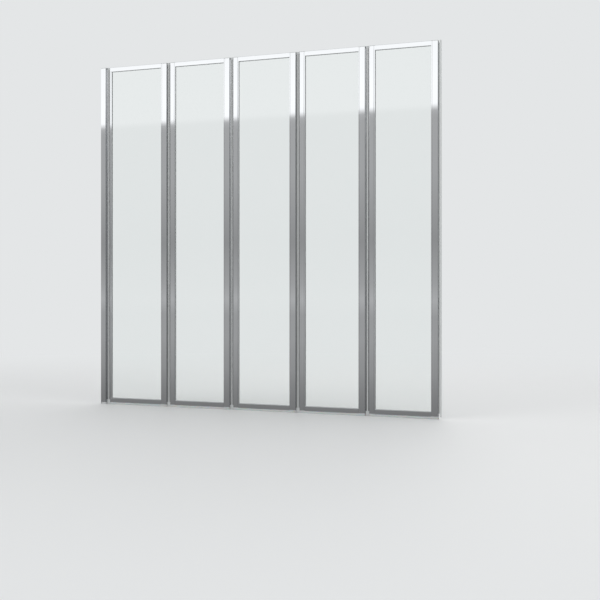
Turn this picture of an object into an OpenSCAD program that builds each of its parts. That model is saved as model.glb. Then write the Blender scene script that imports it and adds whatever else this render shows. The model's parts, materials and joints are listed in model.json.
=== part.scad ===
// Folding bath screen: five framed glass panels on a wall profile.
// Millimetres. X runs along the screen away from the wall, Y into the bath, Z up.
// The origin is where the wall, the bath rim and the middle of the glass meet.

/* [Screen] */
// Height of the frames above the bath rim
screen_h = 1400; // [1100:10:1600]
// Width of one panel over its stiles
panel_w = 275.6; // [200:0.2:340]
// Height of the seals, and so of the frames above the rim
seal_h = 8; // [6:0.5:14]

/* [Stiles] */
// Depth of the upright profiles
stile_t = 12; // [11:0.5:16]
// Visible width of each left stile
left_face_w = 19; // [17:0.5:28]
// Visible width of each right stile
right_face_w = 23; // [19:0.5:30]
// Width of the lip beside the glass
lip_w = 4; // [2:0.5:7]
// Wall thickness of the aluminium profiles
wall = 1.3; // [1:0.1:1.6]
// Width of the screw chamber on the hinge side of a left stile
left_chamber_w = 8.4; // [7:0.2:9]
// Width of the screw chamber on the hinge side of a right stile
right_chamber_w = 12.4; // [7:0.2:13]
// Thickness of that lip on each side of the gasket
lip_wall = 1.2; // [1:0.1:1.3]
// Depth of the glazing mouth at the inner edge of a stile
mouth_d = 5.3; // [4.5:0.1:6]
// Thickness of the first panel's slim wall-side stile
slim_wall = 2; // [1.6:0.1:3]
// Width of the slim stile's lips
slim_lip_w = 6; // [4:0.5:10]
// Corner radius of the profiles
corner_r = 1.2; // [0.4:0.1:1.6]
// Corner radius inside the screw chambers
chamber_r = 0.5; // [0.2:0.1:1]

/* [Rails] */
// Depth of the top and bottom rails
rail_t = 10; // [9.4:0.1:12]
// Height of the top and bottom rails
rail_h = 18.5; // [18:0.5:30]
// Depth of the glass groove in the rails
groove_d = 8.5; // [7:0.1:9]
// Height of the bottom rail's screw port above the rail's foot
port_z = 6.6; // [6.2:0.1:7]
// Drop of the top rail's screw port below the top edge
port_drop = 5; // [5:0.1:6]

/* [Glass] */
// Thickness of the safety glass
glass_t = 4; // [3:0.5:5]
// Thickness of the glazing gasket on each face of the glass
gasket_t = 1.2; // [0.8:0.1:1.6]
// Reach of the gasket over the glass beyond the frame
gasket_reach = 1; // [0.5:0.1:2]
// Depth of the gasket in the frame
gasket_d = 5; // [4:0.1:5.2]
// Free space around the edge of the glass
edge_gap = 1.2; // [0.8:0.1:2]

/* [Hinges] */
// Radius of the beads on the hinge strip
bead_r = 2; // [1.8:0.1:2.4]
// Running clearance round a bead
bead_gap = 0.15; // [0.1:0.05:0.2]
// Wall of the sockets that hold the beads
socket_wall = 1.05; // [0.9:0.05:1.2]
// Distance of a hinge axis from the edge of its stile
axis_out = 2.2; // [2.2:0.1:3]
// Thickness of the webs between bead and strip
web_t = 1.2; // [1:0.1:1.4]
// Gap between two panels that are folded together
fold_gap = 0.8; // [0.6:0.1:3]
// Depth of the hinge strip between the sockets
strip_t = 3.8; // [3.4:0.1:4]
// Gap between the strip and the sockets beside it
strip_gap = 0.7; // [0.3:0.1:0.8]
// Angle through which one bead turns
fold_angle = 90; // [60:5:90]
// Radius of the bore in the strip for the spigot of a cap
spigot_bore_r = 1.2; // [1:0.1:1.3]
// Length of the spigot of a hinge cap
spigot_len = 14; // [8:1:30]
// Height that the sockets are cut back at the foot of a stile
foot_cut = 12; // [11:0.5:16]
// Height that the sockets are cut back at the top of a stile
top_cut = 9; // [8.5:0.5:14]
// Running gap above, below and beside the hinge caps
cap_gap = 0.3; // [0.2:0.1:0.5]

/* [Wall profile] */
// Depth of the wall channel
channel_t = 20; // [19:0.5:26]
// Reach of the channel's sides from the wall
channel_w = 22.5; // [20:0.5:24]
// Thickness of the web against the wall
channel_web = 1.6; // [1.2:0.1:2.4]
// Thickness of the channel's sides
channel_side = 1.4; // [1.2:0.1:1.6]
// Distance of the adjusting profile's end face from the wall
adjust_x = 24.5; // [24:0.5:34]
// Length of the adjusting profile's sides
adjust_w = 19.5; // [15:0.5:20]
// Thickness of the adjusting profile
adjust_wall = 1.6; // [1.2:0.1:2]
// Corner radius of the channel's sides and of the adjusting profile
channel_r = 0.6; // [0.2:0.1:0.6]
// Sliding gap between channel and adjusting profile
adjust_gap = 0.3; // [0.2:0.1:0.5]
// Radius of the fixing holes in the web
fixing_r = 2.75; // [2:0.25:3.5]
// Number of fixing holes
fixing_count = 4; // [2:1:5]
// Distance of the end fixing holes from the rim and from the top
fixing_inset = 100; // [60:10:200]
// Number of adjusting screws
adjust_screws_n = 3; // [2:1:4]
// Distance of the end adjusting screws from the ends of the profile
adjust_inset = 150; // [60:10:300]

/* [Screws] */
// Radius of the screw shanks
shank_r = 1.95; // [1.5:0.05:2]
// Clearance of a screw in its port
port_gap = 0.05; // [0.05:0.01:0.1]
// Clearance of a screw in a drilled wall
drill_gap = 0.15; // [0.1:0.05:0.3]
// Radius of the screw heads
head_r = 3; // [2.5:0.1:3]
// Height of the screw heads
head_h = 2; // [1.6:0.1:2.4]
// Clearance round a head in its access hole
access_gap = 0.3; // [0.2:0.1:0.3]
// Length of the corner screws under the head
screw_len = 35; // [25:1:50]
// Radius of the countersunk heads in the slim stile
countersink_r = 3.5; // [3:0.1:3.6]
// Width of the cross recess in the screw heads
recess_w = 0.8; // [0.6:0.1:1]
// Length of that recess
recess_len = 3.6; // [2.4:0.1:4]
// Depth of that recess
recess_d = 1; // [0.6:0.1:1.2]
// Length of the adjusting screws past the adjusting profile
screw_end = 2; // [0.5:0.5:4]

/* [Caps and seals] */
// Thickness of the cover plates on the ends of the profiles
plate_t = 2; // [1.5:0.1:2.5]
// Depth of the ribs that hold a cover plate
rib_d = 6; // [3:0.5:8]
// Thickness of those ribs
rib_t = 1.1; // [0.8:0.1:1.2]
// Distance of the ribs from the corners of their chamber
rib_inset = 0.6; // [0.5:0.1:2]
// Clearance of ribs, plugs and spigots in what holds them
plug_gap = 0.1; // [0.05:0.05:0.2]
// Depth of the bottom seal
seal_t = 9; // [7:0.5:9.4]
// Thickness of the seal's base and lips
seal_wall = 1.4; // [1:0.1:1.8]
// Width of the neck of the seal's foot
seal_neck = 2.8; // [2:0.1:3.4]
// Width of the head of the seal's foot
seal_foot = 5.4; // [4.4:0.1:5.8]
// Height of the neck, and thickness of the lips that hold the foot
slot_lip = 1.3; // [1:0.1:1.5]
// Thickness of the foot in its slot
foot_t = 1.7; // [1.2:0.1:1.8]
// Clearance of the foot in its slot
slot_gap = 0.2; // [0.1:0.05:0.25]
// Width of the closing strip on the free edge
nose_w = 5.4; // [4:0.1:12]
// Depth of the closing strip
nose_t = 9; // [6:0.5:11]

/* [Hidden] */
panel_count = 5;
socket_in = bead_r + bead_gap;
socket_out = socket_in + socket_wall;
link_len = stile_t + fold_gap;
strip_w = link_len - 2 * (socket_out + strip_gap);
axis_pitch = panel_w + 2 * axis_out;
wall_axis = adjust_x + axis_out;
cap_r = axis_out - cap_gap;
fixing_pitch = (screen_h - 2 * fixing_inset) / (fixing_count - 1);

frame_z = seal_h;
plate_top = screen_h - plate_t;
plate_foot = frame_z + plate_t;
socket_z0 = frame_z + foot_cut;
socket_z1 = screen_h - top_cut;
foot_port = frame_z + port_z;
top_port = screen_h - port_drop;
rail_top_z = screen_h - rail_h;
groove_half = glass_t / 2 + gasket_t;
lip_half = groove_half + lip_wall;
port_r = shank_r + port_gap;
drill_r = shank_r + drill_gap;
access_r = head_r + access_gap;
slot_top = slot_lip + foot_t + 2 * slot_gap;
eps = 0.01;
fine = 48;

aluminium = "#c9cbcc";
aluminium_dark = "#8f9293";
strip_grey = "#a9abaa";
cap_grey = "#8d9090";
glass_tint = [0.80, 0.88, 0.86, 0.45];
steel = "#b4b6b8";

PANEL_PARTS = ["left_stile", "right_stile", "top_rail", "bottom_rail", "glass", "gasket",
    "bottom_seal", "corner_screws", "stile_caps"];

// Hinge k joins panel k to panel k + 1, and hinge 0 joins the wall to panel 1.
// near_axis is its axis on the wall's side, far_axis the one away from the wall.
function far_axis(k) = wall_axis + link_len + k * (axis_pitch + link_len);
function near_axis(k) = k == 0 ? wall_axis : far_axis(k) - link_len;
// Edges of panel k
function left_edge(k) = far_axis(k - 1) + axis_out;
function right_edge(k) = near_axis(k) - axis_out;
// Odd hinges fold to the front, even ones and the wall hinge into the bath.
function fold_side(k) = k % 2 == 1 ? -1 : 1;
// Width from the edge of panel k to the end of its rails, on each side
function left_frame(k) = k == 1 ? slim_wall : left_face_w + lip_w;
function left_sight(k) = k == 1 ? slim_wall + slim_lip_w : left_face_w + lip_w;
right_frame = right_face_w + lip_w;
// Distance from the edge of panel k to the floor of its upright groove
function left_floor(k) = k == 1 ? slim_wall : left_chamber_w + 2 * wall;
right_floor = right_chamber_w + 2 * wall;

function arc(cx, cy, r, from, to, steps = 4) =
    [for (i = [0 : steps]) let (a = from + (to - from) * i / steps) [cx + r * cos(a), cy + r * sin(a)]];

// Rectangle with rounded corners, from x0 to x1 and y0 to y1
module soft_rect(x0, x1, y0, y1, r) {
    polygon(concat(
        arc(x1 - r, y1 - r, r, 0, 90),
        arc(x0 + r, y1 - r, r, 90, 180),
        arc(x0 + r, y0 + r, r, 180, 270),
        arc(x1 - r, y0 + r, r, 270, 360)));
}

module rect(x0, x1, y0, y1) {
    translate([x0, y0]) square([x1 - x0, y1 - y0]);
}

// Upright profile between two heights
module upright(z0, z1) {
    translate([0, 0, z0]) linear_extrude(z1 - z0) children();
}

// Level profile, drawn as Y and Z, between two distances from the wall
module level(x0, x1) {
    translate([x0, 0, 0]) rotate([90, 0, 90]) linear_extrude(x1 - x0) children();
}

// Places a stile that is drawn with its edge at 0 and its glass side at +X
module at_left(k) {
    translate([left_edge(k), 0, 0]) children();
}

module at_right(k) {
    translate([right_edge(k), 0, 0]) mirror([1, 0, 0]) children();
}

// ---- Hinge sockets, drawn at the edge of a stile at x = 0 ----

module socket_2d(side) {
    sweep_margin = asin(web_t / 2 / socket_in) + asin(bead_gap / socket_in);
    steps = 4;
    span = fold_angle + 2 * sweep_margin;
    reach = (socket_out + eps) / cos(span / steps / 2);
    difference() {
        translate([-axis_out, 0]) circle(socket_out, $fn = fine);
        translate([-axis_out, 0]) circle(socket_in, $fn = fine);
        // The mouth through which the web swings
        translate([-axis_out, 0]) polygon(concat([[0, 0]],
            [for (i = [0 : steps])
                let (a = 180 + side * (sweep_margin - span * i / steps))
                [reach * cos(a), reach * sin(a)]]));
        rect(0, socket_out, -socket_out, socket_out);
    }
}

module socket(side) {
    upright(socket_z0, socket_z1) socket_2d(side);
}

// ---- Stiles ----

module stile_2d(face_w, chamber_w) {
    floor_u = chamber_w + 2 * wall;
    mouth_u = face_w + lip_w - mouth_d;
    inner = stile_t / 2 - wall;
    difference() {
        union() {
            soft_rect(0, face_w, -stile_t / 2, stile_t / 2, corner_r);
            rect(face_w - wall, face_w + lip_w, -lip_half, lip_half);
        }
        soft_rect(wall, wall + chamber_w, -inner, inner, chamber_r);
        rect(floor_u, mouth_u, -inner, inner);
        rect(mouth_u - eps, face_w + lip_w + eps, -groove_half, groove_half);
    }
}

// Access hole through the hinge edge and screw hole through the chamber's far wall
module corner_drilling(chamber_w) {
    for (z = [foot_port, top_port]) {
        translate([-eps, 0, z]) rotate([0, 90, 0]) cylinder(wall + 2 * eps, r = access_r, $fn = fine);
        translate([wall + chamber_w / 2, 0, z]) rotate([0, 90, 0])
            cylinder(chamber_w / 2 + wall + eps, r = drill_r, $fn = fine);
    }
}

module stile(face_w, chamber_w, side) {
    difference() {
        union() {
            upright(plate_foot, plate_top) stile_2d(face_w, chamber_w);
            socket(side);
        }
        corner_drilling(chamber_w);
    }
}

// The first panel's wall-side stile: an edge wall, with lips between the rails only
module slim_stile(side) {
    difference() {
        union() {
            upright(frame_z, screen_h) rect(0, slim_wall, -rail_t / 2, rail_t / 2);
            for (s = [-1, 1])
                upright(frame_z + rail_h, rail_top_z)
                    rect(slim_wall - eps, slim_wall + slim_lip_w,
                        min(s * groove_half, s * lip_half), max(s * groove_half, s * lip_half));
            socket(side);
        }
        for (z = [foot_port, top_port]) {
            translate([-eps, 0, z]) rotate([0, 90, 0]) cylinder(slim_wall + 2 * eps, r = drill_r, $fn = fine);
            translate([0, 0, z]) rotate([0, 90, 0])
                cylinder(countersink_r - shank_r, countersink_r + drill_gap, drill_r, $fn = fine);
        }
    }
}

module left_stile(k) {
    color(aluminium) at_left(k) {
        if (k == 1) slim_stile(fold_side(k - 1));
        else stile(left_face_w, left_chamber_w, fold_side(k - 1));
    }
}

module right_stile(k) {
    color(aluminium) at_right(k) stile(right_face_w, right_chamber_w, fold_side(k));
}

// Cover plate with two ribs that grip the sides of the screw chamber
module stile_plate(face_w, chamber_w) {
    inner = stile_t / 2 - wall - plug_gap;
    upright(0, plate_t) {
        soft_rect(0, face_w, -stile_t / 2, stile_t / 2, corner_r);
        rect(face_w - wall, face_w + lip_w, -lip_half, lip_half);
    }
    for (s = [-1, 1])
        upright(-rib_d, eps)
            rect(wall + rib_inset, wall + chamber_w - rib_inset,
                min(s * inner, s * (inner - rib_t)), max(s * inner, s * (inner - rib_t)));
}

module plate_pair(face_w, chamber_w) {
    translate([0, 0, plate_top]) stile_plate(face_w, chamber_w);
    translate([0, 0, plate_foot]) mirror([0, 0, 1]) stile_plate(face_w, chamber_w);
}

module stile_caps(k) {
    color(cap_grey) {
        if (k > 1) at_left(k) plate_pair(left_face_w, left_chamber_w);
        at_right(k) plate_pair(right_face_w, right_chamber_w);
    }
}

// ---- Rails, drawn with Y across and the rail's own foot at 0 ----

module top_rail_2d() {
    difference() {
        soft_rect(-rail_t / 2, rail_t / 2, 0, rail_h, corner_r);
        rect(-groove_half, groove_half, -eps, groove_d);
        translate([0, rail_h - port_drop]) circle(port_r, $fn = fine);
    }
}

module bottom_rail_2d() {
    neck = seal_neck / 2 + slot_gap;
    foot = seal_foot / 2 + slot_gap;
    difference() {
        soft_rect(-rail_t / 2, rail_t / 2, 0, rail_h, corner_r);
        rect(-groove_half, groove_half, rail_h - groove_d, rail_h + eps);
        translate([0, port_z]) circle(port_r, $fn = fine);
        rect(-neck, neck, -eps, slot_lip + eps);
        rect(-foot, foot, slot_lip, slot_top);
    }
}

module top_rail(k) {
    color(aluminium) translate([0, 0, rail_top_z])
        level(left_edge(k) + left_frame(k), right_edge(k) - right_frame) top_rail_2d();
}

module bottom_rail(k) {
    color(aluminium) translate([0, 0, frame_z])
        level(left_edge(k) + left_frame(k), right_edge(k) - right_frame) bottom_rail_2d();
}

// ---- Glass and gaskets ----

function glass_z0() = frame_z + rail_h - groove_d + edge_gap;
function glass_z1() = rail_top_z + groove_d - edge_gap;

module glass(k) {
    color(glass_tint)
        translate([left_edge(k) + left_floor(k) + edge_gap, -glass_t / 2, glass_z0()])
            cube([panel_w - left_floor(k) - right_floor - 2 * edge_gap, glass_t, glass_z1() - glass_z0()]);
}

// A picture frame on each face of the glass
module gasket(k) {
    x0 = left_edge(k) + left_sight(k);
    x1 = right_edge(k) - right_frame;
    z0 = frame_z + rail_h;
    color(strip_grey)
        for (y = [-groove_half, glass_t / 2])
            translate([0, y + gasket_t, 0]) rotate([90, 0, 0]) linear_extrude(gasket_t) difference() {
                rect(x0 - gasket_d, x1 + gasket_d, z0 - gasket_d, rail_top_z + gasket_d);
                rect(x0 + gasket_reach, x1 - gasket_reach, z0 + gasket_reach, rail_top_z - gasket_reach);
            }
}

// ---- Bottom seals, drawn from the rim up ----

module seal_2d() {
    half = seal_t / 2;
    base = seal_h - seal_wall;
    rect(-half, half, base, seal_h);
    for (s = [-1, 1])
        polygon([[s * half, seal_h - eps], [s * (half - seal_wall), seal_h - eps],
            [s * (half - seal_wall), base / 2], [s * (half - 2 * seal_wall), 0],
            [s * (half - seal_wall), 0], [s * half, base / 2]]);
}

module seal_foot_2d() {
    rect(-seal_neck / 2, seal_neck / 2, seal_h - eps, seal_h + slot_lip + slot_gap + eps);
    rect(-seal_foot / 2, seal_foot / 2, seal_h + slot_lip + slot_gap, seal_h + slot_lip + slot_gap + foot_t);
}

module bottom_seal(k) {
    color(strip_grey) {
        level(left_edge(k) + cap_gap, right_edge(k) - cap_gap) seal_2d();
        level(left_edge(k) + left_frame(k), right_edge(k) - right_frame) seal_foot_2d();
    }
}

// ---- Screws, drawn along +X with the underside of the head at 0 ----

module cross_recess() {
    for (a = [0, 90])
        rotate([0, 0, a]) translate([-recess_len / 2, -recess_w / 2, 0])
            cube([recess_len, recess_w, recess_d + eps]);
}

module pan_screw(length) {
    rotate([0, 90, 0]) cylinder(length, r = shank_r, $fn = fine);
    rotate([0, -90, 0]) difference() {
        cylinder(head_h, r = head_r, $fn = fine);
        translate([0, 0, head_h - recess_d]) cross_recess();
    }
}

module flat_screw(length) {
    rotate([0, 90, 0]) difference() {
        union() {
            cylinder(length, r = shank_r, $fn = fine);
            cylinder(countersink_r - shank_r, countersink_r, shank_r, $fn = fine);
        }
        translate([0, 0, -eps]) cross_recess();
    }
}

module corner_screws(k) {
    color(steel) for (z = [foot_port, top_port]) {
        translate([0, 0, z]) at_left(k) {
            if (k == 1) flat_screw(screw_len);
            else translate([wall + left_chamber_w, 0, 0]) pan_screw(screw_len);
        }
        translate([0, 0, z]) at_right(k) translate([wall + right_chamber_w, 0, 0]) pan_screw(screw_len);
    }
}

// ---- Hinge strips, drawn from the near axis at 0 to the far axis ----

module strip_2d() {
    strip_x = socket_out + strip_gap;
    difference() {
        union() {
            circle(bead_r, $fn = fine);
            translate([link_len, 0]) circle(bead_r, $fn = fine);
            rect(0, link_len, -web_t / 2, web_t / 2);
            soft_rect(strip_x, strip_x + strip_w, -strip_t / 2, strip_t / 2, corner_r);
        }
        translate([link_len / 2, 0]) circle(spigot_bore_r, $fn = fine);
    }
}

module hinge_strip(k) {
    color(strip_grey) translate([near_axis(k), 0, 0])
        upright(socket_z0 - cap_gap, socket_z1 + cap_gap) strip_2d();
}

module cap_2d() {
    circle(cap_r, $fn = fine);
    translate([link_len, 0]) circle(cap_r, $fn = fine);
    rect(0, link_len, -cap_r, cap_r);
}

// Caps that close the strip above and below its sockets; the lower one stands on the rim.
module hinge_caps(k) {
    z0 = socket_z0 - cap_gap;
    z1 = socket_z1 + cap_gap;
    spigot_r = spigot_bore_r - plug_gap;
    color(cap_grey) translate([near_axis(k), 0, 0]) {
        upright(cap_gap, z0) cap_2d();
        upright(z1, screen_h) cap_2d();
        translate([link_len / 2, 0, z0 - eps]) cylinder(spigot_len, r = spigot_r, $fn = fine);
        translate([link_len / 2, 0, z1 - spigot_len + eps]) cylinder(spigot_len, r = spigot_r, $fn = fine);
    }
}

// ---- Closing strip in the socket of the last stile ----

module end_strip() {
    nose_x = socket_out + strip_gap;
    color(strip_grey) translate([near_axis(panel_count), 0, 0]) {
        upright(socket_z0, socket_z1) {
            circle(bead_r, $fn = fine);
            rect(0, nose_x + eps, -web_t / 2, web_t / 2);
        }
        upright(frame_z, screen_h) soft_rect(nose_x, nose_x + nose_w, -nose_t / 2, nose_t / 2, corner_r);
    }
}

// ---- Wall profile ----

adjust_half = channel_t / 2 - channel_side - adjust_gap;
function adjust_screw_z(i) =
    frame_z + adjust_inset + i * (screen_h - frame_z - 2 * adjust_inset) / (adjust_screws_n - 1);
// Middle of the overlap of channel and adjusting profile
adjust_screw_x = (adjust_x - adjust_w + channel_w) / 2;

module wall_channel() {
    half = channel_t / 2;
    color(aluminium) difference() {
        union() {
            upright(0, plate_top) rect(0, channel_web, -half, half);
            for (s = [-1, 1])
                upright(frame_z, plate_top)
                    soft_rect(0, channel_w, min(s * half, s * (half - channel_side)),
                        max(s * half, s * (half - channel_side)), channel_r);
        }
        for (i = [0 : fixing_count - 1])
            translate([-eps, 0, fixing_inset + i * fixing_pitch]) rotate([0, 90, 0])
                cylinder(channel_web + 2 * eps, r = fixing_r, $fn = fine);
        for (i = [0 : adjust_screws_n - 1])
            translate([adjust_screw_x, half - channel_side - eps, adjust_screw_z(i)]) rotate([-90, 0, 0])
                cylinder(channel_side + 2 * eps, r = drill_r, $fn = fine);
    }
}

module adjusting_profile() {
    color(aluminium) difference() {
        union() {
            upright(frame_z, plate_top) difference() {
                soft_rect(adjust_x - adjust_w, adjust_x, -adjust_half, adjust_half, channel_r);
                rect(adjust_x - adjust_w - eps, adjust_x - adjust_wall,
                    adjust_wall - adjust_half, adjust_half - adjust_wall);
            }
            translate([adjust_x, 0, 0]) mirror([1, 0, 0]) socket(fold_side(0));
        }
        for (i = [0 : adjust_screws_n - 1])
            translate([adjust_screw_x, adjust_half - adjust_wall - eps, adjust_screw_z(i)])
                rotate([-90, 0, 0]) cylinder(adjust_wall + 2 * eps, r = port_r, $fn = fine);
    }
}

// Screws through the channel's bath side that hold the adjusting profile
module adjusting_screws() {
    reach = channel_side + adjust_gap + adjust_wall + screw_end;
    color(steel) for (i = [0 : adjust_screws_n - 1])
        translate([adjust_screw_x, channel_t / 2, adjust_screw_z(i)]) rotate([0, 0, -90]) pan_screw(reach);
}

// Cover plate on top of the wall profile, and the block that seals its foot to the rim
module channel_caps() {
    half = channel_t / 2;
    plug_x0 = adjust_x - adjust_w;
    plug_x1 = adjust_x - adjust_wall - plug_gap;
    plug = adjust_half - adjust_wall - plug_gap;
    color(cap_grey) {
        upright(plate_top, screen_h) soft_rect(0, adjust_x, -half, half, corner_r);
        upright(plate_top - rib_d, plate_top + eps) rect(plug_x0, plug_x1, -plug, plug);
        upright(0, frame_z) rect(channel_web, adjust_x, -half + channel_side, half - channel_side);
        upright(frame_z - eps, frame_z + rib_d) rect(plug_x0, plug_x1, -plug, plug);
    }
}

wall_channel();
adjusting_profile();
adjusting_screws();
channel_caps();
end_strip();
for (k = [1 : panel_count]) {
    left_stile(k);
    right_stile(k);
    top_rail(k);
    bottom_rail(k);
    glass(k);
    gasket(k);
    bottom_seal(k);
    corner_screws(k);
    stile_caps(k);
}
for (k = [0 : panel_count - 1]) {
    hinge_strip(k);
    hinge_caps(k);
}
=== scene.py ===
import json
import math
import bpy
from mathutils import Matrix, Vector


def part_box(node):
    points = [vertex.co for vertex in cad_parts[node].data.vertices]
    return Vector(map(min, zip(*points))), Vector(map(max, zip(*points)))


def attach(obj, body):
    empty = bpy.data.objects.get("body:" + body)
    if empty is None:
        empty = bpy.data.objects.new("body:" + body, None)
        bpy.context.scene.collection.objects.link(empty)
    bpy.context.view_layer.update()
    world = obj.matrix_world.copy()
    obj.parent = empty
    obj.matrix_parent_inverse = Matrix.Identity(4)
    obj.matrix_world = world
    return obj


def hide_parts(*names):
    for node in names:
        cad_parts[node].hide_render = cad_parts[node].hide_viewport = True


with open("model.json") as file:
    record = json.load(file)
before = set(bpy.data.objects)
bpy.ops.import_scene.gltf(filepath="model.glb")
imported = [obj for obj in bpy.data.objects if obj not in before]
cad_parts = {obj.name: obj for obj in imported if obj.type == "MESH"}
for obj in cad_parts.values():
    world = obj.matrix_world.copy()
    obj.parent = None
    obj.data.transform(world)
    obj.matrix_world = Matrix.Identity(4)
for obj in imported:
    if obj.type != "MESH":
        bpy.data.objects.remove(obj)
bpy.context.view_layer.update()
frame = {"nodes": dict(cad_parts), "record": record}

mm = 0.001
scene = bpy.context.scene
nodes = frame["nodes"]
panels = range(1, 6)
hinges = range(0, 5)
slotOf = {part["node"]: part["material_slot"] for part in frame["record"]["subparts"]}


def toLinear(hexColour):
    parts = [int(hexColour[i:i + 2], 16) / 255 for i in (1, 3, 5)]
    return tuple(c / 12.92 if c <= 0.04045 else ((c + 0.055) / 1.055) ** 2.4 for c in parts) + (1,)


def addNode(tree, kind, links=None, values=None, **settings):
    node = tree.nodes.new(kind)
    for name, value in settings.items():
        setattr(node, name, value)
    for key, value in (values or {}).items():
        node.inputs[key].default_value = value
    for key, sources in (links or {}).items():
        for source in sources if isinstance(sources, list) else [sources]:
            tree.links.new(source, node.inputs[key])
    return node


def newMaterial(name):
    material = bpy.data.materials.new(name)
    material.use_nodes = True
    material.node_tree.nodes.clear()
    return material, material.node_tree


# Noise on Object coordinates, stretched per axis: sizes in millimetres
def addGrain(tree, sizeMm, detail):
    place = addNode(tree, "ShaderNodeTexCoord")
    stretch = addNode(tree, "ShaderNodeMapping", {"Vector": place.outputs["Object"]},
                      {"Scale": [1 / (size * mm) for size in sizeMm]})
    noise = addNode(tree, "ShaderNodeTexNoise", {"Vector": stretch.outputs["Vector"]},
                    {"Scale": 1.0, "Detail": detail})
    return noise.outputs["Fac"]


# A finish from its look: one grain gives colour, roughness and relief, unless slow waves give the relief
def newFinish(name, look, **shaderValues):
    material, tree = newMaterial(name)
    grain = addGrain(tree, look["grainMm"], look["detail"])
    height = addGrain(tree, look["waveMm"], 0) if "waveMm" in look else grain
    colour = addNode(tree, "ShaderNodeMix", {"Factor": grain},
                     {"A": toLinear(look["shade"]), "B": toLinear(look["colour"])}, data_type="RGBA")
    roughness = addNode(tree, "ShaderNodeMapRange", {"Value": grain},
                        {"To Min": look["roughLow"], "To Max": look["roughHigh"]})
    bump = addNode(tree, "ShaderNodeBump", {"Height": height},
                   {"Strength": look["relief"], "Distance": look["depthMm"] * mm})
    shader = addNode(tree, "ShaderNodeBsdfPrincipled",
                     {"Base Color": colour.outputs["Result"], "Roughness": roughness.outputs["Result"],
                      "Normal": bump.outputs["Normal"]}, shaderValues)
    addNode(tree, "ShaderNodeOutputMaterial", {"Surface": shader.outputs["BSDF"]})
    return material


# Bright-dipped, clear-anodised aluminium extrusion: a near mirror with faint die lines along it.
# Real die lines are about 0.1 mm apart, and are drawn 1.6 mm apart so that they show.
aluminiumLook = dict(colour="#C2C4C6", shade="#B9BBBD", grainMm=(1.6, 1.6, 900), detail=2,
                     roughLow=0.012, roughHigh=0.03, depthMm=0.0004, relief=1.0)
uprightAluminium = newFinish("anodisedAluminiumUpright", aluminiumLook, Metallic=1.0)

# On the rails the die lines run level
levelLook = dict(aluminiumLook, grainMm=aluminiumLook["grainMm"][::-1])
levelAluminium = newFinish("anodisedAluminiumLevel", levelLook, Metallic=1.0)

# The same extrusion inside its hinge sockets: the buffing wheel doesn't reach in there, so the etched metal
# stays dull, with its die lines 0.8 mm apart here. Its darker colour is painted shade, for the shade deep in
# the hinge slots
socketShadeLook = dict(colour="#B2B4B6", shade="#A6A8AA", grainMm=(0.8, 0.8, 300), detail=2,
                  roughLow=0.16, roughHigh=0.26, depthMm=0.002, relief=1.0)
dullAluminiumPaintedShade = newFinish("socketAluminiumPaintedShade", socketShadeLook, Metallic=1.0)

# Toughened clear float glass: nearly colourless, with the slow waves of the toughening furnace
glassLook = dict(colour="#FCFEFD", shade="#FAFDFC", grainMm=(60, 60, 60), detail=3, waveMm=(180, 180, 180),
                 roughLow=0.0, roughHigh=0.02, depthMm=0.012, relief=1.0)
clearGlass = newFinish("toughenedClearGlass", glassLook, **{"Transmission Weight": 1.0, "IOR": 1.52})

# Extruded rigid vinyl: satin light grey, with draw marks along its length. Real ones are about 0.2 mm
# apart, and are drawn 0.9 mm apart so that they show.
vinylLook = dict(colour="#CED0CF", shade="#C6C8C7", grainMm=(0.9, 0.9, 300), detail=3,
                 roughLow=0.34, roughHigh=0.46, depthMm=0.01, relief=1.0)
greyVinyl = newFinish("satinGreyVinyl", vinylLook, IOR=1.53)

# The same vinyl where it turns in the sockets: darker, as painted shade for the shade in the hinge slots,
# under a glossy coat
beadShadeLook = dict(vinylLook, colour="#8A8C8C", shade="#7E8080")
beadVinylPaintedShade = newFinish("greyVinylPaintedShade", beadShadeLook, IOR=1.53, **{"Coat Weight": 1.0, "Coat Roughness": 0.08})

# Moulded ABS: satin, with a spark-eroded grain of about 0.3 mm, drawn at 0.6 mm
plasticLook = dict(colour="#C4C6C6", shade="#BBBDBD", grainMm=(0.6, 0.6, 0.6), detail=2,
                   roughLow=0.42, roughHigh=0.55, depthMm=0.02, relief=0.6)
greyPlastic = newFinish("mouldedGreyPlastic", plasticLook, IOR=1.53)

# Extruded glazing rubber: dull grey, with a faint dusty mottle of about 2.5 mm
rubberLook = dict(colour="#C3C6C5", shade="#B8BBBA", grainMm=(2.5, 2.5, 2.5), detail=4,
                  roughLow=0.55, roughHigh=0.7, depthMm=0.02, relief=0.5)
glazingRubber = newFinish("glazingRubber", rubberLook, IOR=1.52)

# Extruded soft vinyl wiper seal: milky, so light scatters up to 3 mm into it, with draw marks along it
# as on the rigid vinyl
sealLook = dict(colour="#CDD0CF", shade="#C2C5C4", grainMm=(200, 0.8, 0.8), detail=2,
                roughLow=0.30, roughHigh=0.42, depthMm=0.008, relief=1.0)
milkyVinyl = newFinish("softMilkyVinyl", sealLook, IOR=1.53,
                       **{"Subsurface Weight": 0.3, "Subsurface Scale": 0.003})

# Cold-headed stainless steel: bright, with a faint tumbled mottle of about 0.2 mm, drawn at 0.7 mm
steelLook = dict(colour="#C6C7C8", shade="#B8BABB", grainMm=(0.7, 0.7, 0.7), detail=2,
                 roughLow=0.22, roughHigh=0.34, depthMm=0.004, relief=1.0)
tumbledSteel = newFinish("tumbledStainlessSteel", steelLook, Metallic=1.0)

finishOf = dict(aluminium=uprightAluminium, glass=clearGlass, hinge_strip=greyVinyl, caps=greyPlastic,
                gasket=glazingRubber, seal=milkyVinyl, screws=tumbledSteel)
for name, node in nodes.items():
    finish = levelAluminium if name.endswith("_rail") else finishOf[slotOf[name]]
    node.data.materials.clear()
    node.data.materials.append(finish)
print("finishes on", len(nodes), "CAD nodes")


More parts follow.
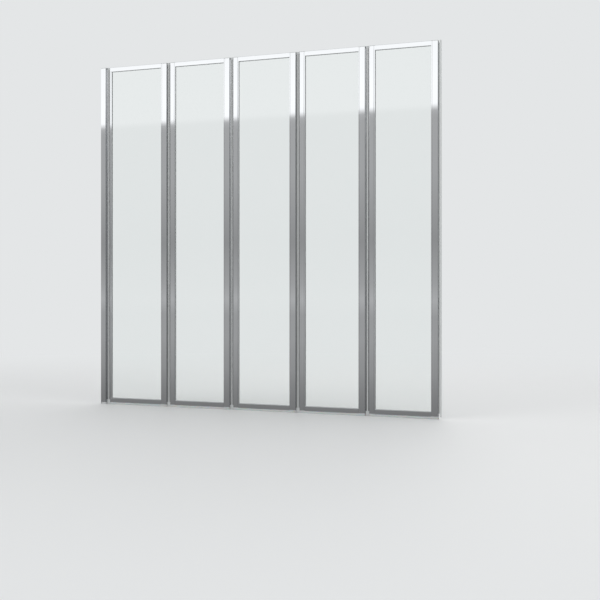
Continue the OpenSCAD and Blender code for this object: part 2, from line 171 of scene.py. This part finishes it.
# A Geometry Nodes tree with named inputs: sizes are millimetres, and None stands for a material
def newTree(name, **inputs):
    tree = bpy.data.node_groups.new(name, "GeometryNodeTree")
    tree.interface.new_socket("Geometry", in_out="INPUT", socket_type="NodeSocketGeometry")
    for label, value in inputs.items():
        kind = "NodeSocketMaterial" if value is None else "NodeSocketFloat"
        socket = tree.interface.new_socket(label, in_out="INPUT", socket_type=kind)
        if value is not None:
            socket.default_value = value
    tree.interface.new_socket("Geometry", in_out="OUTPUT", socket_type="NodeSocketGeometry")
    return tree, addNode(tree, "NodeGroupInput").outputs


# Edges that turn less than this shade smoothly
smoothAngle = math.radians(32)


# Ends a tree: the geometry gets its scale, its smooth and sharp edges and its finish, and is made real
def endTree(tree, geometry, material=None, scale=mm):
    angle = addNode(tree, "GeometryNodeInputMeshEdgeAngle")
    sharp = addNode(tree, "FunctionNodeCompare", {"A": angle.outputs["Unsigned Angle"]}, {"B": smoothAngle},
                    operation="GREATER_THAN")
    sized = addNode(tree, "GeometryNodeTransform", {"Geometry": geometry}, {"Scale": (scale, scale, scale)})
    smooth = addNode(tree, "GeometryNodeSetShadeSmooth", {"Geometry": sized.outputs[0]}, domain="FACE")
    edges = addNode(tree, "GeometryNodeSetShadeSmooth",
                    {"Geometry": smooth.outputs[0], "Selection": sharp.outputs["Result"]},
                    {"Shade Smooth": False}, domain="EDGE")
    last = addNode(tree, "GeometryNodeRealizeInstances", {"Geometry": edges.outputs[0]})
    if material is not None:
        last = addNode(tree, "GeometryNodeSetMaterial", {"Geometry": last.outputs[0], "Material": material})
    addNode(tree, "NodeGroupOutput", {"Geometry": last.outputs[0]})


def addTree(piece, tree, sizes):
    modifier = piece.modifiers.new(tree.name, "NODES")
    modifier.node_group = tree
    for item in tree.interface.items_tree:
        value = sizes.get(item.name) if item.in_out == "INPUT" else None
        if value is not None:
            modifier[item.identifier] = value


# Runs a tree on a mesh, and keeps the result as a plain mesh. Sizes are millimetres.
def growPiece(name, tree, sizes, base=None):
    piece = bpy.data.objects.new(name, base or bpy.data.meshes.new(name))
    scene.collection.objects.link(piece)
    addTree(piece, tree, sizes)
    graph = bpy.context.evaluated_depsgraph_get()
    grown = bpy.data.meshes.new_from_object(piece.evaluated_get(graph), preserve_all_data_layers=True,
                                            depsgraph=graph)
    grown.name = name
    grown.materials.clear()  # the grown mesh has an empty first slot
    grown.materials.append(sizes["finish"])
    grown.polygons.foreach_set("material_index", [0] * len(grown.polygons))
    piece.modifiers.clear()
    piece.data = grown
    return piece


# A closed upright prism over a flat closed curve. Prisms that are united get small insets, because the
# exact solver leaves open edges where two end faces lie in one plane.
def addPrism(tree, curve, length, inset=0.0):
    flat = addNode(tree, "GeometryNodeFillCurve", {"Curve": curve}, mode="NGONS")
    face = addNode(tree, "GeometryNodeTransform", {"Geometry": flat.outputs[0]},
                   {"Translation": (0, 0, inset)})
    shorter = addNode(tree, "ShaderNodeMath", {0: length}, {1: 2.0 * inset}, operation="SUBTRACT")
    rise = addNode(tree, "ShaderNodeCombineXYZ", {"Z": shorter.outputs[0]})
    top = addNode(tree, "GeometryNodeExtrudeMesh", {"Mesh": face.outputs[0], "Offset": rise.outputs[0]},
                  {"Individual": False}, mode="FACES")
    foot = addNode(tree, "GeometryNodeFlipFaces", {"Mesh": face.outputs[0]})
    both = addNode(tree, "GeometryNodeJoinGeometry", {"Geometry": [top.outputs["Mesh"], foot.outputs[0]]})
    welded = addNode(tree, "GeometryNodeMergeByDistance", {"Geometry": both.outputs[0]}, {"Distance": 0.0001})
    return welded.outputs[0]


def addRod(tree, radius, length, steps, inset=0.0):
    ring = addNode(tree, "GeometryNodeCurvePrimitiveCircle", {"Radius": radius}, {"Resolution": steps})
    return addPrism(tree, ring.outputs["Curve"], length, inset)


# A bar with rounded upright edges, where corner gives the radius of its rounds
def addRoundedBar(tree, width, depth, corner, length, steps):
    box = addNode(tree, "GeometryNodeCurvePrimitiveQuadrilateral", {"Width": width, "Height": depth})
    outline = addNode(tree, "GeometryNodeFilletCurve", {"Curve": box.outputs[0], "Radius": corner},
                      {"Count": steps}, mode="POLY")
    return addPrism(tree, outline.outputs[0], length)


def addMove(tree, geometry, **distances):
    place = addNode(tree, "ShaderNodeCombineXYZ", distances)
    moved = addNode(tree, "GeometryNodeTransform", {"Geometry": geometry, "Translation": place.outputs[0]})
    return moved.outputs[0]


# Normals follow the largest faces, so that a flat face mirrors as a flat one beside its rounded edges
def keepFlatFaces(piece):
    weighted = piece.modifiers.new("keepFlatFaces", "WEIGHTED_NORMAL")
    weighted.mode = "FACE_AREA"
    weighted.weight = 100  # the largest faces decide
    weighted.keep_sharp = True


# Five hinge strips: two beads, a web and a slab with rounded edges, bored for the spigots of the caps
hingeStrip = dict(linkLength=12.8, beadRadius=2.0, webDepth=1.2, slabWidth=5.0, slabDepth=3.8,
                  edgeRadius=1.5, boreRadius=1.2)


def hingeStripTree():
    tree, sizes = newTree("hingeStrip", **hingeStrip, length=0.0, nearAxis=0.0, foot=0.0, finish=None)
    length = sizes["length"]
    half = addNode(tree, "ShaderNodeMath", {0: sizes["linkLength"]}, {1: 0.5}, operation="MULTIPLY")
    slab = addRoundedBar(tree, sizes["slabWidth"], sizes["slabDepth"], sizes["edgeRadius"], length, steps=6)
    flat = addNode(tree, "GeometryNodeCurvePrimitiveQuadrilateral",
                   {"Width": sizes["linkLength"], "Height": sizes["webDepth"]})
    web = addPrism(tree, flat.outputs[0], length, inset=0.1)
    bead = addRod(tree, sizes["beadRadius"], length, steps=40, inset=0.05)
    parts = [bead, addMove(tree, bead, X=sizes["linkLength"]), addMove(tree, slab, X=half.outputs[0]),
             addMove(tree, web, X=half.outputs[0])]
    whole = addNode(tree, "GeometryNodeMeshBoolean", {"Mesh 2": parts}, operation="UNION")
    drill = addRod(tree, sizes["boreRadius"], length, steps=24, inset=-1.0)
    bored = addNode(tree, "GeometryNodeMeshBoolean",
                    {"Mesh 1": whole.outputs["Mesh"], "Mesh 2": addMove(tree, drill, X=half.outputs[0])},
                    operation="DIFFERENCE")
    placed = addMove(tree, bored.outputs["Mesh"], X=sizes["nearAxis"], Z=sizes["foot"])
    endTree(tree, placed, sizes["finish"])
    return tree


# Beads, webs and the first half millimetre of the slab's sides get the dark finish, painted shade for the
# shade in the hinge slots, as a second slot
def paintShadeOnBeads(strip, low, high, finish):
    slabStart = (hingeStrip["linkLength"] - hingeStrip["slabWidth"]) / 2 + hingeStrip["beadRadius"]
    reach = (slabStart + 0.5) * mm
    strip.data.materials.append(finish)
    for face in strip.data.polygons:
        face.material_index = int(min(face.center.x - low.x, high.x - face.center.x) < reach)


stripTree = hingeStripTree()
for k in hinges:
    low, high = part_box(f"hinge_{k}_strip")
    strip = growPiece(f"hinge_{k}_ribbon", stripTree, dict(
        hingeStrip, length=(high.z - low.z) / mm, nearAxis=low.x / mm + hingeStrip["beadRadius"],
        foot=low.z / mm, finish=greyVinyl))
    paintShadeOnBeads(strip, low, high, beadVinylPaintedShade)
    keepFlatFaces(strip)
    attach(strip, f"link_{k}")
    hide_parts(f"hinge_{k}_strip")
print("hinge strips grown")


# Caps above and below each strip, as wide as the round of its beads so that they clear the stiles when it
# folds, with softened edges and a spigot in the bore of the strip
hingeCap = dict(capWidth=16.6, capDepth=3.8, edgeRadius=1.899, spigotRadius=1.1, spigotLength=14.0)


def hingeCapTree():
    tree, sizes = newTree("hingeCap", **hingeCap, footHeight=0.0, topHeight=0.0, topPlace=0.0, middle=0.0,
                          foot=0.0, finish=None)
    section = [sizes["capWidth"], sizes["capDepth"], sizes["edgeRadius"]]
    foot = addRoundedBar(tree, *section, sizes["footHeight"], steps=5)
    top = addRoundedBar(tree, *section, sizes["topHeight"], steps=5)
    spigot = addRod(tree, sizes["spigotRadius"], sizes["spigotLength"], steps=24)
    under = addNode(tree, "ShaderNodeMath", {0: sizes["topPlace"], 1: sizes["spigotLength"]},
                    operation="SUBTRACT")
    parts = [foot, addMove(tree, spigot, Z=sizes["footHeight"]), addMove(tree, top, Z=sizes["topPlace"]),
             addMove(tree, spigot, Z=under.outputs[0])]
    joined = addNode(tree, "GeometryNodeJoinGeometry", {"Geometry": parts})
    endTree(tree, addMove(tree, joined.outputs[0], X=sizes["middle"], Z=sizes["foot"]), sizes["finish"])
    return tree


# Moulded caps and plates have no knife edges: millimetres, and the least angle in degrees
mouldedEdge = dict(width=0.3, segments=2, angle=50)


def softenEdges(piece):
    bevel = piece.modifiers.new("softenedEdges", "BEVEL")
    bevel.width = mouldedEdge["width"] * mm
    bevel.segments = mouldedEdge["segments"]
    bevel.limit_method = "ANGLE"
    bevel.angle_limit = math.radians(mouldedEdge["angle"])


capTree = hingeCapTree()
for k in hinges:
    low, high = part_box(f"hinge_{k}_caps")
    stripLow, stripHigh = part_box(f"hinge_{k}_strip")
    caps = growPiece(f"hinge_{k}_endCaps", capTree, dict(
        hingeCap, footHeight=(stripLow.z - low.z) / mm, topHeight=(high.z - stripHigh.z) / mm,
        topPlace=(stripHigh.z - low.z) / mm, middle=(low.x + high.x) / 2 / mm, foot=low.z / mm,
        finish=greyPlastic))
    softenEdges(caps)
    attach(caps, f"link_{k}")
    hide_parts(f"hinge_{k}_caps")
print("hinge caps grown")


# Screws: a pan head that falls off as a power of its height, with a cross recess. The head is flat above
# domePart of the full dome.
panScrew = dict(headRadius=3.0, headHeight=2.0, domePower=4.0, domePart=0.97, shankRadius=1.95,
                recessWidth=0.8, recessLength=3.6, recessDepth=1.0)


def panScrewTree():
    tree, sizes = newTree("panScrew", **panScrew, shankLength=0.0, finish=None)
    up = addNode(tree, "ShaderNodeCombineXYZ", {"Z": sizes["headHeight"]})
    line = addNode(tree, "GeometryNodeCurvePrimitiveLine", {"End": up.outputs[0]})
    points = addNode(tree, "GeometryNodeResampleCurve", {"Curve": line.outputs[0]}, {"Count": 14},
                     mode="COUNT")
    along = addNode(tree, "GeometryNodeSplineParameter")
    part = addNode(tree, "ShaderNodeMath", {0: along.outputs["Factor"], 1: sizes["domePart"]},
                   operation="MULTIPLY")
    fallen = addNode(tree, "ShaderNodeMath", {0: part.outputs[0], 1: sizes["domePower"]}, operation="POWER")
    left = addNode(tree, "ShaderNodeMath", {1: fallen.outputs[0]}, {0: 1.0}, operation="SUBTRACT")
    rootPower = addNode(tree, "ShaderNodeMath", {1: sizes["domePower"]}, {0: 1.0}, operation="DIVIDE")
    root = addNode(tree, "ShaderNodeMath", {0: left.outputs[0], 1: rootPower.outputs[0]}, operation="POWER")
    radius = addNode(tree, "ShaderNodeMath", {0: root.outputs[0], 1: sizes["headRadius"]},
                     operation="MULTIPLY")
    ring = addNode(tree, "GeometryNodeCurvePrimitiveCircle", values={"Resolution": 40, "Radius": 1.0})
    head = addNode(tree, "GeometryNodeCurveToMesh",
                   {"Curve": points.outputs[0], "Profile Curve": ring.outputs[0], "Scale": radius.outputs[0]},
                   {"Fill Caps": True})
    down = addNode(tree, "ShaderNodeMath", {0: sizes["shankLength"]}, {1: -1.0}, operation="MULTIPLY")
    shank = addRod(tree, sizes["shankRadius"], sizes["shankLength"], steps=32)
    slots = []
    # Each box reaches as far above the head as into it, and one less far, so that no two floors coincide
    for long, wide, height in (("recessLength", "recessWidth", 2.0), ("recessWidth", "recessLength", 1.98)):
        deep = addNode(tree, "ShaderNodeMath", {0: sizes["recessDepth"]}, {1: height}, operation="MULTIPLY")
        size = addNode(tree, "ShaderNodeCombineXYZ",
                       {"X": sizes[long], "Y": sizes[wide], "Z": deep.outputs[0]})
        box = addNode(tree, "GeometryNodeMeshCube", {"Size": size.outputs[0]})
        slots.append(addMove(tree, box.outputs[0], Z=sizes["headHeight"]))
    cut = addNode(tree, "GeometryNodeMeshBoolean", {"Mesh 1": head.outputs[0], "Mesh 2": slots},
                  operation="DIFFERENCE")
    screw = addNode(tree, "GeometryNodeJoinGeometry",
                    {"Geometry": [cut.outputs["Mesh"], addMove(tree, shank, Z=down.outputs[0])]})
    aim = addNode(tree, "GeometryNodeInputNamedAttribute", values={"Name": "headSide"},
                  data_type="FLOAT_VECTOR")
    turn = addNode(tree, "FunctionNodeAlignRotationToVector", {"Vector": aim.outputs["Attribute"]}, axis="Z")
    placed = addNode(tree, "GeometryNodeInstanceOnPoints",
                     {"Points": sizes["Geometry"], "Instance": screw.outputs[0], "Rotation": turn.outputs[0]})
    endTree(tree, placed.outputs[0], sizes["finish"])
    return tree


# Points under the heads, with the direction in which the heads face
def screwPoints(name, places, side):
    mesh = bpy.data.meshes.new(name)
    mesh.from_pydata([tuple(v / mm for v in place) for place in places], [], [])
    for entry in mesh.attributes.new("headSide", "FLOAT_VECTOR", "POINT").data:
        entry.vector = side
    return mesh


adjusting = dict(count=3, shankLength=5.3)
low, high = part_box("adjusting_screws")
middleX = (low.x + high.x) / 2
edge = panScrew["headRadius"] * mm
underHead = high.y - panScrew["headHeight"] * mm
spacing = (high.z - low.z - 2 * edge) / (adjusting["count"] - 1)
places = [(middleX, underHead, low.z + edge + i * spacing) for i in range(adjusting["count"])]
screws = growPiece("adjusting_panScrews", panScrewTree(),
                   dict(panScrew, shankLength=adjusting["shankLength"], finish=tumbledSteel),
                   screwPoints("adjustingPoints", places, (0, 1, 0)))
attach(screws, "wall")
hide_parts("adjusting_screws")
print("screws grown:", len(places))


# The bottom seals: a base, two lips under it that curl in until they touch the rim, and a foot above it in
# the rail's slot. The bends are where a lip's curve is pulled to, as parts of its height.
bottomSeal = dict(
    baseWidth=9.0, baseDepth=1.5, chamfer=0.25, lipRoot=1.4, lipTip=0.7, tipInset=1.9, tipRise=0.25,
    outerCurl=0.15, innerCurl=0.25, highBend=0.55, outerBend=0.25, innerBend=0.3,
    foot=dict(height=8.0, neckWidth=2.8, neckHeight=1.5, footWidth=5.4, footDepth=1.7))


# Outline of the base and its lips, seen along the rail: across and up, in millimetres
def sealOutline():
    look = bottomSeal
    half = look["baseWidth"] / 2
    top = look["foot"]["height"]
    root = top - look["baseDepth"]
    tip = half - look["tipInset"]
    inside = half - look["lipRoot"]

    # A curve from a to d that is pulled towards b and c
    def bend(a, b, c, d, steps=10):
        curve = []
        for i in range(steps + 1):
            t = i / steps
            u = 1 - t
            curve.append(tuple(u ** 3 * a[j] + 3 * u * u * t * b[j] + 3 * u * t * t * c[j] + t ** 3 * d[j]
                               for j in range(2)))
        return curve

    outer = bend((half, root), (half, root * look["highBend"]),
                 (half - look["outerCurl"], root * look["outerBend"]), (tip, 0.0))
    inner = bend((tip - look["lipTip"], look["tipRise"]),
                 (inside - look["innerCurl"], root * look["innerBend"]),
                 (inside, root * look["highBend"]), (inside, root))
    right = [(half - look["chamfer"], top), (half, top - look["chamfer"])] + outer + inner
    left = [(-x, y) for x, y in reversed(right)]
    return right + left


def bottomSealTree():
    tree, sizes = newTree("bottomSeal", **bottomSeal["foot"], length=0.0, neckLength=0.0, neckStart=0.0,
                          start=0.0, finish=None)
    section = addNode(tree, "GeometryNodeMeshToCurve", {"Mesh": sizes["Geometry"]})
    parts = [addPrism(tree, section.outputs[0], sizes["length"])]
    lift = sizes["height"]
    # The neck is drawn 0.6 mm taller than it shows, so that it runs into the base and the foot
    for width, depth, overlap, inset in (("neckWidth", "neckHeight", 0.6, 0.1),
                                         ("footWidth", "footDepth", 0.0, 0.0)):
        half = addNode(tree, "ShaderNodeMath", {0: sizes[depth]}, {1: 0.5}, operation="MULTIPLY")
        level = addNode(tree, "ShaderNodeMath", {0: lift, 1: half.outputs[0]}, operation="ADD")
        deeper = addNode(tree, "ShaderNodeMath", {0: sizes[depth]}, {1: overlap}, operation="ADD")
        box = addNode(tree, "GeometryNodeCurvePrimitiveQuadrilateral",
                      {"Width": sizes[width], "Height": deeper.outputs[0]})
        bar = addPrism(tree, box.outputs[0], sizes["neckLength"], inset=inset)
        parts.append(addMove(tree, bar, Y=level.outputs[0], Z=sizes["neckStart"]))
        lift = addNode(tree, "ShaderNodeMath", {0: lift, 1: sizes[depth]}, operation="ADD").outputs[0]
    whole = addNode(tree, "GeometryNodeMeshBoolean", {"Mesh 2": parts}, operation="UNION")
    # The prism is laid down, so that its length runs along the rail
    laid = addNode(tree, "GeometryNodeTransform", {"Geometry": whole.outputs["Mesh"]},
                   {"Rotation": (math.radians(90), 0, math.radians(90))})
    endTree(tree, addMove(tree, laid.outputs[0], X=sizes["start"]), sizes["finish"])
    return tree


sealTree = bottomSealTree()
outline = [(x, y, 0) for x, y in sealOutline()]
for k in panels:
    low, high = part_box(f"panel_{k}_bottom_seal")
    railLow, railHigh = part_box(f"panel_{k}_bottom_rail")
    section = bpy.data.meshes.new("sealSection")
    section.from_pydata(outline, [(i, (i + 1) % len(outline)) for i in range(len(outline))], [])
    seal = growPiece(f"panel_{k}_wiperSeal", sealTree, dict(
        bottomSeal["foot"], length=(high.x - low.x) / mm, neckLength=(railHigh.x - railLow.x) / mm,
        neckStart=(railLow.x - low.x) / mm, start=low.x / mm, finish=milkyVinyl), section)
    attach(seal, f"panel_{k}")
    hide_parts(f"panel_{k}_bottom_seal")
print("bottom seals grown")


# On the CAD nodes that stay, loose triangles are welded, rounded corners shade smoothly and sharp edges
# stay sharp. This tree is in metres, as the CAD nodes are.
def smoothCornersTree():
    tree, sizes = newTree("smoothRoundedCorners")
    joined = addNode(tree, "GeometryNodeMergeByDistance", {"Geometry": sizes["Geometry"]},
                     {"Distance": 0.005 * mm})
    endTree(tree, joined.outputs[0], scale=1)
    return tree


# Faces within reach of an upright axis get their own finish: in the sockets, the darker one that paints the
# shade of the hinge slots. Its inputs are millimetres, its nodes metres.
def socketPaintedShadeTree():
    tree, sizes = newTree("socketPaintedShade", axisX=0.0, reach=3.3, finish=None)
    place = addNode(tree, "GeometryNodeInputPosition")
    spot = addNode(tree, "ShaderNodeSeparateXYZ", {"Vector": place.outputs[0]})
    axis = addNode(tree, "ShaderNodeMath", {0: sizes["axisX"]}, {1: mm}, operation="MULTIPLY")
    aside = addNode(tree, "ShaderNodeMath", {0: spot.outputs["X"], 1: axis.outputs[0]}, operation="SUBTRACT")
    flat = addNode(tree, "ShaderNodeCombineXYZ", {"X": aside.outputs[0], "Y": spot.outputs["Y"]})
    away = addNode(tree, "ShaderNodeVectorMath", {0: flat.outputs[0]}, operation="LENGTH")
    reach = addNode(tree, "ShaderNodeMath", {0: sizes["reach"]}, {1: mm}, operation="MULTIPLY")
    near = addNode(tree, "FunctionNodeCompare", {"A": away.outputs["Value"], "B": reach.outputs[0]},
                   operation="LESS_THAN")
    whole = addNode(tree, "GeometryNodeRealizeInstances", {"Geometry": sizes["Geometry"]})
    dulled = addNode(tree, "GeometryNodeSetMaterial",
                     {"Geometry": whole.outputs[0], "Selection": near.outputs["Result"],
                      "Material": sizes["finish"]})
    addNode(tree, "NodeGroupOutput", {"Geometry": dulled.outputs[0]})
    return tree


# Where each profile's socket turns: on the bead of the hinge strip beside it, or of the closing strip
socketAxis = {"panel_5_right_stile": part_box("end_strip")[0].x / mm + hingeStrip["beadRadius"]}
for k in hinges:
    low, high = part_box(f"hinge_{k}_strip")
    socketAxis[f"panel_{k}_right_stile" if k else "adjusting_profile"] = low.x / mm + hingeStrip["beadRadius"]
    socketAxis[f"panel_{k + 1}_left_stile"] = high.x / mm - hingeStrip["beadRadius"]

cornersTree = smoothCornersTree()
socketShadeTree = socketPaintedShadeTree()
for name, node in nodes.items():
    if not node.hide_render:
        addTree(node, cornersTree, {})
        if name in socketAxis:
            addTree(node, socketShadeTree, dict(axisX=socketAxis[name], finish=dullAluminiumPaintedShade))
        if name.endswith("_caps"):
            softenEdges(node)
        keepFlatFaces(node)
print("smooth shading on the rounded corners, dull finish in", len(socketAxis), "sockets")


studio = dict(backdrop="#E4E6E7", fill="#F4F6F8", fillStrength=0.80, floor="#EFEFEE", floorRoughness=0.6,
              floorRadius=30.0, middle=(0.75, 0, 0), fadeStart=1.2, fadeEnd=4.5)


# The world lights with the fill, and the eye, mirrors and glass see the pale backdrop
def softWorld():
    world = bpy.data.worlds.new("softStudio")
    world.use_nodes = True
    tree = world.node_tree
    tree.nodes.clear()
    path = addNode(tree, "ShaderNodeLightPath")
    mirrored = addNode(tree, "ShaderNodeMath",
                       {0: path.outputs["Is Camera Ray"], 1: path.outputs["Is Glossy Ray"]},
                       operation="MAXIMUM")
    seen = addNode(tree, "ShaderNodeMath", {0: mirrored.outputs[0], 1: path.outputs["Is Transmission Ray"]},
                   operation="MAXIMUM")
    fill = addNode(tree, "ShaderNodeBackground",
                   values={"Color": toLinear(studio["fill"]), "Strength": studio["fillStrength"]})
    pale = addNode(tree, "ShaderNodeBackground",
                   values={"Color": toLinear(studio["backdrop"]), "Strength": 1.0})
    either = addNode(tree, "ShaderNodeMixShader",
                     {0: seen.outputs[0], 1: fill.outputs[0], 2: pale.outputs[0]})
    addNode(tree, "ShaderNodeOutputWorld", {"Surface": either.outputs[0]})
    return world


# The floor keeps the shadow near the screen, and far off it fades into the backdrop's colour
def paleFloor():
    material, tree = newMaterial("palePaintedFloor")
    paint = addNode(tree, "ShaderNodeBsdfPrincipled",
                    values={"Base Color": toLinear(studio["floor"]), "Roughness": studio["floorRoughness"]})
    spot = addNode(tree, "ShaderNodeTexCoord")
    reach = addNode(tree, "ShaderNodeVectorMath", {0: spot.outputs["Object"]}, {1: studio["middle"]},
                    operation="DISTANCE")
    fade = addNode(tree, "ShaderNodeMapRange", {"Value": reach.outputs["Value"]},
                   {"From Min": studio["fadeStart"], "From Max": studio["fadeEnd"]},
                   interpolation_type="SMOOTHSTEP")
    far = addNode(tree, "ShaderNodeEmission", values={"Color": toLinear(studio["backdrop"]), "Strength": 1.0})
    mix = addNode(tree, "ShaderNodeMixShader",
                  {0: fade.outputs["Result"], 1: paint.outputs["BSDF"], 2: far.outputs[0]})
    addNode(tree, "ShaderNodeOutputMaterial", {"Surface": mix.outputs[0]})
    return material


def makeFloor(steps=64):
    x, y, z = studio["middle"]
    radius = studio["floorRadius"]
    angles = [2 * math.pi * i / steps for i in range(steps)]
    ring = [(x + radius * math.cos(a), y + radius * math.sin(a), z) for a in angles]
    mesh = bpy.data.meshes.new("paleFloor")
    mesh.from_pydata(ring, [], [list(range(steps))])
    mesh.materials.append(paleFloor())
    floor = bpy.data.objects.new("paleFloor", mesh)
    scene.collection.objects.link(floor)


scene.world = softWorld()
makeFloor()


# Lamps are large cards: their radiance is what a mirror shows of them
def addLamp(name, place, target, width, height, radiance, inMirrors=True):
    lamp = bpy.data.lights.new(name, "AREA")
    lamp.shape = "RECTANGLE"
    lamp.size = width
    lamp.size_y = height
    lamp.energy = radiance * math.pi * width * height
    card = bpy.data.objects.new(name, lamp)
    card.location = place
    card.rotation_euler = (Vector(target) - Vector(place)).to_track_quat("-Z", "Y").to_euler()
    card.visible_camera = False
    card.visible_transmission = False
    card.visible_glossy = inMirrors
    scene.collection.objects.link(card)


# The high lamp is left out of mirrors, because the mirrored wall below holds a soft box in its place
lamps = dict(
    highCard=dict(place=(-2.3, -6.0, 3.35), target=(-2.3, 0, 3.35), width=5.6, height=2.8, radiance=1.35,
                  inMirrors=False),
    rightSoftCard=dict(place=(4.5, -2.0, 3.2), target=(0.75, 0, 0.7), width=2.4, height=2.4, radiance=1.2),
    backSoftCard=dict(place=(-0.5, 4.5, 3.4), target=(0.75, 0, 0.7), width=3.0, height=2.0, radiance=1.0))
for name, lamp in lamps.items():
    addLamp(name, **lamp)


# The room that the bright profiles mirror. On each card, stops are metres up it, or out from the screen,
# and radiance. The wall has a soft box from 2 m up, and under it is dimmer, with a paler band near its foot.
mirroredWall = dict(
    corners=[(6.7, -6.0, 0.0), (-5.2, -6.0, 0.0), (-5.2, -6.0, 4.75), (6.7, -6.0, 4.75)],
    stops=[(0.0, 0.60), (0.22, 0.60), (0.36, 0.76), (0.50, 0.64), (0.87, 0.51), (1.45, 0.68), (1.92, 0.70),
           (1.97, 0.80), (2.02, 1.90), (2.2, 1.90), (4.75, 1.40)])

# The floor dims towards the screen
mirroredFloor = dict(
    corners=[(-5.2, -6.0, 0.002), (6.7, -6.0, 0.002), (6.7, -0.03, 0.002), (-5.2, -0.03, 0.002)],
    stops=[(0.0, 0.33), (2.2, 0.51), (6.0, 0.60)], axis="Y", sign=-1)

# A dark flag on the left and a grey one on the right shade the rounded edges and the hinge slots
leftFlag = dict(
    corners=[(-5.3, -5.9, 0.0), (-5.3, 2.5, 0.0), (-5.3, 2.5, 4.0), (-5.3, -5.9, 4.0)],
    stops=[(0.0, 0.30), (0.4, 0.10), (2.4, 0.12), (4.0, 0.30)])
rightFlag = dict(
    corners=[(6.8, 2.5, 0.0), (6.8, -5.0, 0.0), (6.8, -5.0, 4.0), (6.8, 2.5, 4.0)],
    stops=[(0.0, 0.60), (0.4, 0.55), (2.4, 0.60), (4.0, 0.70)])

# A soft box on the bath side too, so that the back of the profiles has something to mirror
mirroredBackWall = dict(
    corners=[(-3.0, 6.0, 0.0), (5.5, 6.0, 0.0), (5.5, 6.0, 4.75), (-3.0, 6.0, 4.75)],
    stops=[(0.0, 0.55), (0.9, 0.66), (1.85, 0.74), (2.05, 1.45), (4.75, 1.30)])


# A card that only mirrors show, and only on the side that its corners run round counter-clockwise
def addMirrored(name, corners, stops, axis="Z", sign=1):
    material, tree = newMaterial(name)
    reach = stops[-1][0]
    peak = max(level for _, level in stops)
    spot = addNode(tree, "ShaderNodeTexCoord")
    parts = addNode(tree, "ShaderNodeSeparateXYZ", {"Vector": spot.outputs["Object"]})
    along = addNode(tree, "ShaderNodeMath", {0: parts.outputs[axis]}, {1: sign / reach}, operation="MULTIPLY")
    ramp = addNode(tree, "ShaderNodeValToRGB", {"Fac": along.outputs[0]})
    points = ramp.color_ramp.elements
    for place, _ in stops[1:-1]:
        points.new(place / reach)
    for point, (_, level) in zip(points, stops):
        point.color = (level / peak, level / peak, level / peak, 1)
    glow = addNode(tree, "ShaderNodeEmission", {"Color": ramp.outputs["Color"]}, {"Strength": peak})
    clear = addNode(tree, "ShaderNodeBsdfTransparent")
    side = addNode(tree, "ShaderNodeNewGeometry")
    oneSided = addNode(tree, "ShaderNodeMixShader",
                       {0: side.outputs["Backfacing"], 1: glow.outputs[0], 2: clear.outputs[0]})
    addNode(tree, "ShaderNodeOutputMaterial", {"Surface": oneSided.outputs[0]})
    mesh = bpy.data.meshes.new(name)
    mesh.from_pydata(corners, [], [(0, 1, 2, 3)])
    mesh.materials.append(material)
    card = bpy.data.objects.new(name, mesh)
    scene.collection.objects.link(card)
    for ray in ("camera", "diffuse", "transmission", "volume_scatter", "shadow"):
        setattr(card, "visible_" + ray, False)


room = dict(mirroredWall=mirroredWall, mirroredFloor=mirroredFloor, leftFlag=leftFlag, rightFlag=rightFlag,
            mirroredBackWall=mirroredBackWall)
for name, card in room.items():
    addMirrored(name, **card)
print("studio ready")


# The camera, fitted to the frame edges and hinges in the photograph
view = dict(place=(3.206, -4.676, 0.500), turn=26.06, lens=80.53, sensorWidth=36, shiftY=-0.0268)
camera = bpy.data.objects.new("camera", bpy.data.cameras.new("camera"))
camera.data.lens = view["lens"]
camera.data.sensor_width = view["sensorWidth"]
camera.data.shift_y = view["shiftY"]
camera.location = view["place"]
camera.rotation_euler = (math.radians(90), 0, math.radians(view["turn"]))
scene.collection.objects.link(camera)
scene.camera = camera
scene.view_settings.view_transform = "Standard"
